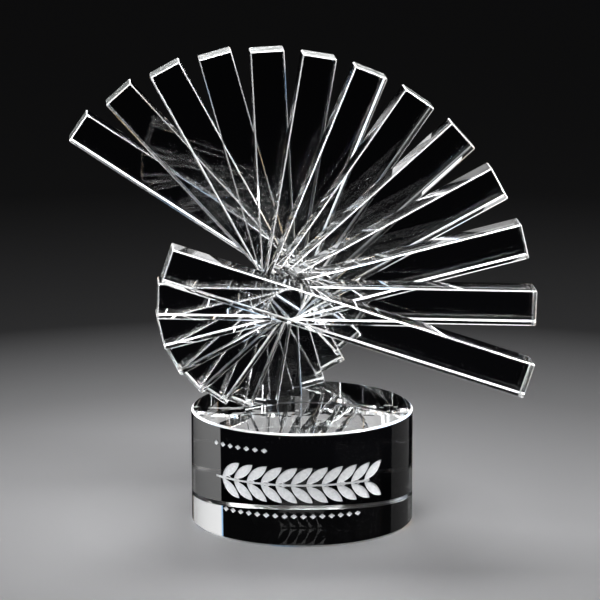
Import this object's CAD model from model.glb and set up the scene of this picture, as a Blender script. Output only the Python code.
"""Optical-crystal award: a fan of thirteen bonded square bars on a round etched base."""

import math

import bmesh
import bpy
from mathutils import Matrix, Vector


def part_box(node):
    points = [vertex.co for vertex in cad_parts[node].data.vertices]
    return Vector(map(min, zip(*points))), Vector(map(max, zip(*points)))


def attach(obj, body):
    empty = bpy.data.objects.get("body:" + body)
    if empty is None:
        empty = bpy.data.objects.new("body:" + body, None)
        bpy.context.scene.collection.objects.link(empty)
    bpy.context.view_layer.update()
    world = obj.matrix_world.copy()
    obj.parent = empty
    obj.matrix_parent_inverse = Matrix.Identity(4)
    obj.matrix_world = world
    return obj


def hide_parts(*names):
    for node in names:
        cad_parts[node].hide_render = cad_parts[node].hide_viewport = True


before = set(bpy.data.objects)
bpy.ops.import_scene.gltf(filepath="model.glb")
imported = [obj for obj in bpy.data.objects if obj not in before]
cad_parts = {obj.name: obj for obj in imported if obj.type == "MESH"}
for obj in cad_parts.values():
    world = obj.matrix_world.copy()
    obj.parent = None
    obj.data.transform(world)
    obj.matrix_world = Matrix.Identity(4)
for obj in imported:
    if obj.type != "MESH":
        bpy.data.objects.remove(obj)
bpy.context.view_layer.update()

BAR_NAMES = sorted(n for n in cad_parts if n.startswith("bar_"))
FILM_NAMES = sorted(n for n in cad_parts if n.startswith("bond_film_"))
FOOT_NAMES = sorted(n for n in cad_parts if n.startswith("foot_bond_"))
UP = Vector((0, 0, 1))
MM = 0.001
MERGE = 0.002 * MM  # vertices of the frame's triangles nearer than this are one
FLAT_ANGLE = math.radians(0.4)  # triangles that turn less than this are one face
IN_PLANE = 0.9999  # cosine above which two directions are the same
BODY = "root"
CRYSTAL = bpy.data.collections.new("crystal_pieces")  # what the crystal lights shine on

BASE_LOW, BASE_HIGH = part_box("base")
BASE_RADIUS = (BASE_HIGH.x - BASE_LOW.x) / 2
BASE_TOP = BASE_HIGH.z
MIDDLE = Vector((0, 0, 0.13))  # about the middle of the award, where the lamps look
CRYSTAL_IOR = 1.52  # refractive index of optical crystal


# ---------------------------------------------------------------- node helpers

def new_material(name):
    """An empty node material and its output node."""
    material = bpy.data.materials.new(name)
    material.use_nodes = True
    tree = material.node_tree
    tree.nodes.clear()
    return material, tree, tree.nodes.new("ShaderNodeOutputMaterial")


def object_point(tree):
    """The shaded point in the object's own space, in metres."""
    return tree.nodes.new("ShaderNodeTexCoord").outputs["Object"]


def noise(tree, scale, detail=2.0, point=None):
    """A noise value over the object's own space; scale counts features per metre."""
    node = tree.nodes.new("ShaderNodeTexNoise")
    node.inputs["Scale"].default_value = scale
    node.inputs["Detail"].default_value = detail
    tree.links.new(point or object_point(tree), node.inputs["Vector"])
    return node.outputs["Fac"]


def spread(tree, value, low, high, start=0.3, end=0.7):
    """Maps a noise value on to low .. high."""
    node = tree.nodes.new("ShaderNodeMapRange")
    tree.links.new(value, node.inputs["Value"])
    for socket, number in (("From Min", start), ("From Max", end), ("To Min", low), ("To Max", high)):
        node.inputs[socket].default_value = number
    return node.outputs["Result"]


def ramp(tree, value, stops):
    """A colour ramp over value; stops are (position, colour)."""
    node = tree.nodes.new("ShaderNodeValToRGB")
    tree.links.new(value, node.inputs["Fac"])
    elements = node.color_ramp.elements
    while len(elements) < len(stops):
        elements.new(0.5)
    for element, (position, colour) in zip(elements, stops):
        element.position = position
        element.color = (*colour, 1)
    return node.outputs["Color"]


def bump(tree, height, strength, distance):
    """A surface normal bent by height; distance is the relief's depth in metres."""
    node = tree.nodes.new("ShaderNodeBump")
    node.inputs["Strength"].default_value = strength
    node.inputs["Distance"].default_value = distance
    tree.links.new(height, node.inputs["Height"])
    return node.outputs["Normal"]


# ------------------------------------------------------------------- materials

def polished_crystal(name, wave, fineness=26):
    """Clear optical crystal with a faint cool tint and a polish that varies a little. wave is how
    strongly its faces ripple, and fineness how many ripples there are per metre."""
    material, tree, out = new_material(name)
    glass = tree.nodes.new("ShaderNodeBsdfPrincipled")
    glass.inputs["Transmission Weight"].default_value = 1.0
    glass.inputs["IOR"].default_value = CRYSTAL_IOR
    tint = ramp(tree, noise(tree, 18), ((0.3, (0.975, 0.985, 0.99)), (0.7, (0.995, 0.998, 1.0))))
    tree.links.new(tint, glass.inputs["Base Color"])
    tree.links.new(spread(tree, noise(tree, 260, 4), 0.0, 0.003), glass.inputs["Roughness"])
    tree.links.new(bump(tree, noise(tree, fineness, 1), wave, 0.1 * MM), glass.inputs["Normal"])
    tree.links.new(glass.outputs[0], out.inputs["Surface"])
    return material


def bright_bevel(name, clearness, roughest):
    """Narrow cut bevel: satin polish that catches the lights, with faint spectral colours.
    clearness is the share of light that it lets through."""
    material, tree, out = new_material(name)
    edge = tree.nodes.new("ShaderNodeBsdfPrincipled")
    edge.inputs["Transmission Weight"].default_value = clearness
    edge.inputs["IOR"].default_value = CRYSTAL_IOR
    edge.inputs["Specular IOR Level"].default_value = 0.8
    spectral = (
        (0.26, (0.45, 0.7, 1.0)),
        (0.38, (0.96, 0.98, 1.0)),
        (0.62, (1.0, 1.0, 1.0)),
        (0.74, (1.0, 0.74, 0.42)),
    )
    tree.links.new(ramp(tree, noise(tree, 22, 1), spectral), edge.inputs["Base Color"])
    tree.links.new(spread(tree, noise(tree, 400, 4), roughest / 2, roughest), edge.inputs["Roughness"])
    tree.links.new(bump(tree, noise(tree, 900, 3), 0.25, 0.05 * MM), edge.inputs["Normal"])
    tree.links.new(edge.outputs[0], out.inputs["Surface"])
    return material


def ground_end():
    """End face of a bar: finely ground and only half polished, so it looks frosted and grainy."""
    material, tree, out = new_material("ground_end")
    end = tree.nodes.new("ShaderNodeBsdfPrincipled")
    end.inputs["Transmission Weight"].default_value = 0.85
    end.inputs["IOR"].default_value = CRYSTAL_IOR
    tone = ramp(tree, noise(tree, 420, 4), ((0.35, (0.2, 0.215, 0.21)), (0.65, (0.5, 0.525, 0.515))))
    tree.links.new(tone, end.inputs["Base Color"])
    tree.links.new(spread(tree, noise(tree, 240, 3), 0.04, 0.3), end.inputs["Roughness"])
    tree.links.new(bump(tree, noise(tree, 1300, 3), 0.12, 0.06 * MM), end.inputs["Normal"])
    tree.links.new(end.outputs[0], out.inputs["Surface"])
    return material


def bonded_face():
    """Face wetted by the adhesive: seen straight through, with a trace of absorption."""
    material, tree, out = new_material("bonded_face")
    clear = tree.nodes.new("ShaderNodeBsdfTransparent")
    clear_tone = ramp(tree, noise(tree, 90, 3), ((0.3, (0.985, 0.99, 0.99)), (0.7, (1.0, 1.0, 1.0))))
    tree.links.new(clear_tone, clear.inputs["Color"])
    tree.links.new(clear.outputs[0], out.inputs["Surface"])
    return material


def cured_adhesive():
    """Cured adhesive between polished faces: clear, with small patches of faint haze."""
    material, tree, out = new_material("cured_adhesive")
    clear = tree.nodes.new("ShaderNodeBsdfTransparent")
    haze = tree.nodes.new("ShaderNodeBsdfPrincipled")
    haze.inputs["Base Color"].default_value = (0.95, 0.97, 1.0, 1)
    haze.inputs["Roughness"].default_value = 0.35
    mix = tree.nodes.new("ShaderNodeMixShader")
    amount = spread(tree, noise(tree, 70, 4), 0.0, 0.03, 0.45, 0.75)
    tree.links.new(amount, mix.inputs[0])
    tree.links.new(clear.outputs[0], mix.inputs[1])
    tree.links.new(haze.outputs[0], mix.inputs[2])
    tree.links.new(mix.outputs[0], out.inputs["Surface"])
    return material


def etched_crystal():
    """Sand-etched crystal: pale, rough and finely grained."""
    material, tree, out = new_material("etched_crystal")
    etch = tree.nodes.new("ShaderNodeBsdfPrincipled")
    etch.inputs["IOR"].default_value = CRYSTAL_IOR
    etch.inputs["Sheen Weight"].default_value = 0.2
    tone = ramp(tree, noise(tree, 700, 4), ((0.3, (0.42, 0.43, 0.445)), (0.7, (0.56, 0.57, 0.58))))
    tree.links.new(tone, etch.inputs["Base Color"])
    tree.links.new(spread(tree, noise(tree, 1500, 3), 0.6, 0.9), etch.inputs["Roughness"])
    tree.links.new(bump(tree, noise(tree, 2600, 3), 0.5, 0.08 * MM), etch.inputs["Normal"])
    tree.links.new(etch.outputs[0], out.inputs["Surface"])
    return material


# --------------------------------------------------------------- mesh helpers

def merged_copy(node):
    """The CAD node's mesh with its triangles joined into whole flat faces."""
    work = bmesh.new()
    work.from_mesh(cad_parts[node].data)
    bmesh.ops.remove_doubles(work, verts=work.verts, dist=MERGE)
    bmesh.ops.dissolve_limit(
        work, angle_limit=FLAT_ANGLE, verts=work.verts, edges=work.edges, use_dissolve_boundaries=False
    )
    work.normal_update()
    return work


def finished_piece(work, name, materials):
    """Makes the object, riding on the body, from a finished bmesh."""
    mesh = bpy.data.meshes.new(name)
    work.to_mesh(mesh)
    work.free()
    piece = bpy.data.objects.new(name, mesh)
    bpy.context.scene.collection.objects.link(piece)
    CRYSTAL.objects.link(piece)
    for material in materials:
        mesh.materials.append(material)
    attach(piece, BODY)
    return piece


def once_each(items):
    """The items without repeats, in their own order, so that every run cuts in the same order."""
    return list(dict.fromkeys(items))


def outline_walls(node, facing):
    """Planes round the node's flat side that looks along facing: (point, outward direction)."""
    work = merged_copy(node)
    side = [f for f in work.faces if f.normal.dot(facing) > IN_PLANE]
    centre = sum((f.calc_center_median() * f.calc_area() for f in side), Vector())
    centre /= sum(f.calc_area() for f in side)
    walls = []
    for edge in once_each(e for f in side for e in f.edges):
        if sum(f in side for f in edge.link_faces) == 1:
            start, end = (v.co for v in edge.verts)
            outward = (end - start).cross(facing).normalized()
            if outward.dot(start - centre) < 0:
                outward.negate()
            walls.append((start.copy(), outward))
    work.free()
    return walls


def mark_contact(work, faces, walls, slot):
    """Cuts flat faces along the walls and gives what lies inside all of them a material slot."""
    for point, outward in walls:
        corners = [v for f in faces for v in f.verts]
        edges = [e for f in faces for e in f.edges]
        cut = bmesh.ops.bisect_plane(
            work, geom=once_each(corners + edges + faces), dist=MERGE / 4, plane_co=point, plane_no=outward
        )
        faces = once_each(g for g in cut["geom"] if isinstance(g, bmesh.types.BMFace))
    for face in faces:
        middle = face.calc_center_median()
        if all(outward.dot(middle - point) < MERGE for point, outward in walls):
            face.material_index = slot


# ----------------------------------------------------------------------- bars

POLISHED, BEVEL, BONDED, END = 0, 1, 2, 3
BIG_FACE = 2.5e-4  # m2; a bar's long faces and its uncut end are larger, and its bevels smaller
LONG_FACE = 1e-3  # m2; a bar's long faces are larger, and its ends smaller


def stack_direction():
    """Unit vector through the stack towards the back, across the films."""
    film = merged_copy(FILM_NAMES[0])
    normal = max(film.faces, key=lambda f: f.calc_area()).normal.copy()
    film.free()
    return normal if normal.y > 0 else -normal


def build_bar(name, materials, back):
    """A bar's copy whose bonded areas let light straight through to its neighbour."""
    work = merged_copy(name)
    number = int(name[-2:])
    square = [f.normal.copy() for f in work.faces if f.calc_area() > BIG_FACE] + [UP]
    for face in work.faces:
        straight = any(abs(face.normal.dot(axis)) > IN_PLANE for axis in square)
        face.material_index = POLISHED if straight else BEVEL
        if BIG_FACE < face.calc_area() < LONG_FACE and abs(face.normal.dot(UP)) < IN_PLANE:
            face.material_index = END  # not the foot that is cut level to stand on the base
    contacts = [
        (f"bond_film_{number:02d}", -back),
        (f"bond_film_{number - 1:02d}", back),
        (f"foot_bond_{number:02d}", -UP),
    ]
    for film, facing in contacts:
        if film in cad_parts:
            touching = [f for f in work.faces if f.normal.dot(facing) > IN_PLANE]
            mark_contact(work, touching, outline_walls(film, facing), BONDED)
    piece = finished_piece(work, f"crystal_{name}", materials)
    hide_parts(name)
    return piece


# ----------------------------------------------------------------------- base

BASE_POLISHED, BASE_BEVEL, BASE_BONDED, BASE_ETCHED, BASE_TABLE = 0, 1, 2, 3, 4
RIM_ZONE = 3 * MM  # height of the zones at the base's top and bottom that hold its bevels
ETCH_ZONE = 0.15 * MM  # an upright face this far inside the base's side is in the ornament
UPRIGHT = 0.02  # a face is upright if its normal's height is below this
TURNED = 0.995  # cosine within which a face of a turned surface looks away from the axis


def is_turned(face):
    """True for a face that belongs to a surface of revolution about Z."""
    middle = face.calc_center_median()
    radial = Vector((middle.x, middle.y, 0))
    if radial.length < BASE_RADIUS / 2 or abs(face.normal.z) > IN_PLANE:
        return False
    sideways = Vector((face.normal.x, face.normal.y, 0))
    return sideways.normalized().dot(radial.normalized()) > TURNED


def build_base(materials):
    """The round base, with smooth turned surfaces, flat contacts and a frosted recess."""
    work = merged_copy("base")
    for face in work.faces:
        middle = face.calc_center_median()
        radius = max(math.hypot(v.co.x, v.co.y) for v in face.verts)
        upright = abs(face.normal.z) < UPRIGHT
        if upright and (not is_turned(face) or radius < BASE_RADIUS - ETCH_ZONE):
            face.material_index = BASE_ETCHED
        elif abs(face.normal.z) < IN_PLANE and not upright:
            inside = RIM_ZONE < middle.z < BASE_TOP - RIM_ZONE
            face.material_index = BASE_ETCHED if inside else BASE_BEVEL
        else:
            face.material_index = BASE_TABLE if face.normal.z > IN_PLANE else BASE_POLISHED
    for name in FOOT_NAMES:
        top = [f for f in work.faces if f.normal.z > IN_PLANE and f.calc_center_median().z > BASE_TOP - MM]
        mark_contact(work, top, outline_walls(name, -UP), BASE_BONDED)
    turned = [is_turned(f) for f in work.faces]
    piece = finished_piece(work, "crystal_base", materials)
    mesh = piece.data
    normals = []
    for polygon, smooth in zip(mesh.polygons, turned):
        sideways = math.hypot(polygon.normal.x, polygon.normal.y)
        for index in polygon.vertices:
            co = mesh.vertices[index].co
            radial = Vector((co.x, co.y, 0)).normalized() * sideways
            normals.append((*radial.xy, polygon.normal.z) if smooth else tuple(polygon.normal))
        polygon.use_smooth = smooth
    mesh.normals_split_custom_set(normals)
    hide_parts("base")
    return piece


# -------------------------------------------------------------------- adhesive

def finish_adhesive(material):
    """Gives the CAD films and foot bonds their clear adhesive."""
    for name in FILM_NAMES + FOOT_NAMES:
        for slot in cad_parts[name].material_slots:
            slot.material = material


# ---------------------------------------------------------------------- studio

FLOOR_RADIUS = 7.0
FLOOR_SEGMENTS = 128
FLOOR_DROP = 0.05 * MM
WARM_FRINGE = (1.0, 0.66, 0.34)
COOL_FRINGE = (0.4, 0.66, 1.0)


def floor_tone(tree):
    """Pale round the object, falling off softly into dark grey with distance from it."""
    length = tree.nodes.new("ShaderNodeVectorMath")
    length.operation = "LENGTH"
    tree.links.new(object_point(tree), length.inputs[0])
    stops = ((0.12, 0.8), (0.3, 0.36), (0.5, 0.045), (1.0, 0.007))
    return ramp(tree, length.outputs["Value"], [(place, (g, g, g * 1.02)) for place, g in stops])


def floor_material():
    """Plain pale floor. In what the crystal bends or mirrors it is black and glossy: a dark-field
    set, so that clear crystal reads by its bright edges."""
    material, tree, out = new_material("studio_floor")
    pale = tree.nodes.new("ShaderNodeBsdfPrincipled")
    pale.inputs["Roughness"].default_value = 0.45
    pale.inputs["Specular IOR Level"].default_value = 0.3
    tree.links.new(floor_tone(tree), pale.inputs["Base Color"])
    black = tree.nodes.new("ShaderNodeBsdfPrincipled")
    black.inputs["Base Color"].default_value = (0.004, 0.004, 0.005, 1)
    black.inputs["Roughness"].default_value = 0.02
    black.inputs["Specular IOR Level"].default_value = 0.17
    path = tree.nodes.new("ShaderNodeLightPath")
    plain = tree.nodes.new("ShaderNodeMath")
    plain.operation = "MAXIMUM"
    tree.links.new(path.outputs["Is Camera Ray"], plain.inputs[0])
    tree.links.new(path.outputs["Is Diffuse Ray"], plain.inputs[1])
    mix = tree.nodes.new("ShaderNodeMixShader")
    tree.links.new(plain.outputs[0], mix.inputs[0])
    tree.links.new(black.outputs[0], mix.inputs[1])
    tree.links.new(pale.outputs[0], mix.inputs[2])
    tree.links.new(mix.outputs[0], out.inputs["Surface"])
    return material


def build_floor():
    work = bmesh.new()
    bmesh.ops.create_circle(work, cap_ends=True, segments=FLOOR_SEGMENTS, radius=FLOOR_RADIUS)
    mesh = bpy.data.meshes.new("studio_floor")
    work.to_mesh(mesh)
    work.free()
    floor = bpy.data.objects.new("studio_floor", mesh)
    floor.location.z = -FLOOR_DROP
    mesh.materials.append(floor_material())
    bpy.context.scene.collection.objects.link(floor)


ALL, MATT, SHINE = "all", "matt", "shine"


def area_light(name, matrix, width, height, power, colour, role):
    """One rectangular lamp. Only a lamp for all reaches the floor; a matt one lights the satin and
    etched crystal, and a shine one is also seen in the polished crystal."""
    light = bpy.data.lights.new(name, "AREA")
    light.shape = "RECTANGLE"
    light.size = width
    light.size_y = height
    light.energy = power
    light.color = colour
    lamp = bpy.data.objects.new(name, light)
    lamp.matrix_world = matrix
    lamp.visible_camera = False
    if role != ALL:
        lamp.light_linking.receiver_collection = CRYSTAL
    if role == MATT:
        lamp.visible_glossy = False
        lamp.visible_transmission = False
    bpy.context.scene.collection.objects.link(lamp)


def softbox(name, place, target, width, height, power, role=SHINE, fringe=0.0):
    """Rectangular soft light that looks at target. A fringe is a pair of thin coloured strips down
    its sides, which the crystal shows as spectral edges."""
    turn = (Vector(target) - Vector(place)).to_track_quat("-Z", "Y").to_matrix().to_4x4()
    at = Matrix.Translation(place) @ turn
    area_light(name, at, width, height, power, (1, 1, 1), role)
    for side, colour in ((-1, WARM_FRINGE), (1, COOL_FRINGE)) if fringe else ():
        strip = at @ Matrix.Translation((side * (width + fringe) / 2, 0, 0))
        area_light(f"{name}_fringe", strip, fringe, height, power * fringe / width, colour, SHINE)


def build_world():
    """Dim neutral surroundings, a little lighter overhead."""
    world = bpy.data.worlds.new("studio")
    world.use_nodes = True
    tree = world.node_tree
    background = next(n for n in tree.nodes if n.type == "BACKGROUND")
    split = tree.nodes.new("ShaderNodeSeparateXYZ")
    tree.links.new(tree.nodes.new("ShaderNodeTexCoord").outputs["Generated"], split.inputs[0])
    tone = ramp(tree, split.outputs["Z"], ((0.3, (0.002, 0.002, 0.0022)), (1.0, (0.13, 0.13, 0.135))))
    tree.links.new(tone, background.inputs["Color"])
    bpy.context.scene.world = world


def around(azimuth, elevation, distance=1.3):
    """A place for a lamp: azimuth in degrees from behind the object round by its right side."""
    turn, rise = math.radians(azimuth), math.radians(elevation)
    level = distance * math.cos(rise)
    return (level * math.sin(turn), level * math.cos(turn), MIDDLE.z + distance * math.sin(rise))


def build_studio():
    """The floor, the dim surroundings and every lamp. Powers are in watts, sizes in metres."""
    build_floor()
    build_world()
    softbox("overhead", (0.0, 0.0, 1.3), MIDDLE, 0.9, 0.7, 7, ALL)
    softbox("front_high", around(200, 34, 1.7), MIDDLE, 0.7, 0.5, 9, ALL)
    softbox("front_left", (-0.9, -1.1, 0.9), MIDDLE, 0.5, 0.6, 8, MATT)
    softbox("front_right", (0.9, -1.1, 0.9), MIDDLE, 0.5, 0.6, 14, MATT)
    softbox("front_low", around(180, 9.5), MIDDLE, 0.35, 0.2, 0.13)
    softbox("right_streak", around(136, 12), MIDDLE, 0.03, 0.45, 0.5)
    softbox("left_streak", around(222, 9), MIDDLE, 0.02, 0.2, 0.15)
    softbox("left_mid", around(270, 22), MIDDLE, 0.55, 0.28, 9, SHINE, 0.025)
    softbox("left_side", around(240, 22), MIDDLE, 0.55, 0.28, 8, SHINE, 0.025)
    softbox("right_side", around(90, 22), MIDDLE, 0.55, 0.28, 13, SHINE, 0.025)
    softbox("right_high", around(108, 52), MIDDLE, 0.6, 0.35, 30, SHINE, 0.02)
    softbox("right_back", (0.82, 0.57, 0.42), (0, 0, 0.1), 0.79, 0.85, 1.9, ALL, 0.02)
    softbox("back_low", around(0, 22), MIDDLE, 0.55, 0.25, 0.6, SHINE, 0.02)
    softbox("back_high", around(15, 36), MIDDLE, 0.9, 0.28, 20, SHINE, 0.025)
    softbox("end_panel", (0.0, 0.45, 0.44), (0, 0, 0.3), 0.6, 0.3, 0.3, SHINE, 0.02)
    softbox("base_panel", (0.0, 1.0, 0.333), (0, 0, 0.07), 0.45, 0.03, 0.06)
    softbox("top_left", around(240, 70), MIDDLE, 0.4, 0.28, 8, SHINE, 0.02)
    softbox("top_right", around(60, 70), MIDDLE, 0.5, 0.35, 36, SHINE, 0.02)
    softbox("top_back_left", around(300, 58), MIDDLE, 0.5, 0.45, 40, SHINE, 0.02)
    softbox("top_front", around(180, 72), MIDDLE, 0.4, 0.28, 16)
    softbox("front_top", around(165, 52), MIDDLE, 0.6, 0.28, 3)


CAMERA_PLACE = (-0.0011, -1.7151, 0.4927)
CAMERA_DIP = 12.23  # degrees that the camera looks down from level
LENS = 195.6  # mm, on a sensor of the width below
SENSOR = 36.0


def build_camera():
    """A long lens a little above the object, looking slightly down."""
    data = bpy.data.cameras.new("camera")
    data.sensor_width = SENSOR
    data.lens = LENS
    camera = bpy.data.objects.new("camera", data)
    camera.location = CAMERA_PLACE
    camera.rotation_euler = (math.radians(90 - CAMERA_DIP), 0, 0)
    bpy.context.scene.collection.objects.link(camera)
    bpy.context.scene.camera = camera


def light_paths():
    """Enough bounces for light to cross thirteen bonded bars, no caustics, and plain colours."""
    cycles = bpy.context.scene.cycles
    cycles.max_bounces = 32
    cycles.transmission_bounces = 32
    cycles.glossy_bounces = 16
    cycles.transparent_max_bounces = 96
    cycles.caustics_refractive = False
    cycles.caustics_reflective = False
    bpy.context.scene.view_settings.view_transform = "Standard"


# ------------------------------------------------------------------------ run

bar_crystal = polished_crystal("crystal_polished", 0.004)
base_crystal = polished_crystal("base_polished", 0.004)
base_table = polished_crystal("base_table", 0.5, 85)
bar_end = ground_end()
bar_bevel = bright_bevel("bar_bevel", 0.74, 0.2)
base_bevel = bright_bevel("base_bevel", 0.4, 0.14)
bonded = bonded_face()
through = stack_direction()
for bar_name in BAR_NAMES:
    build_bar(bar_name, (bar_crystal, bar_bevel, bonded, bar_end), through)
build_base((base_crystal, base_bevel, bonded, etched_crystal(), base_table))
finish_adhesive(cured_adhesive())
build_studio()
build_camera()
light_paths()
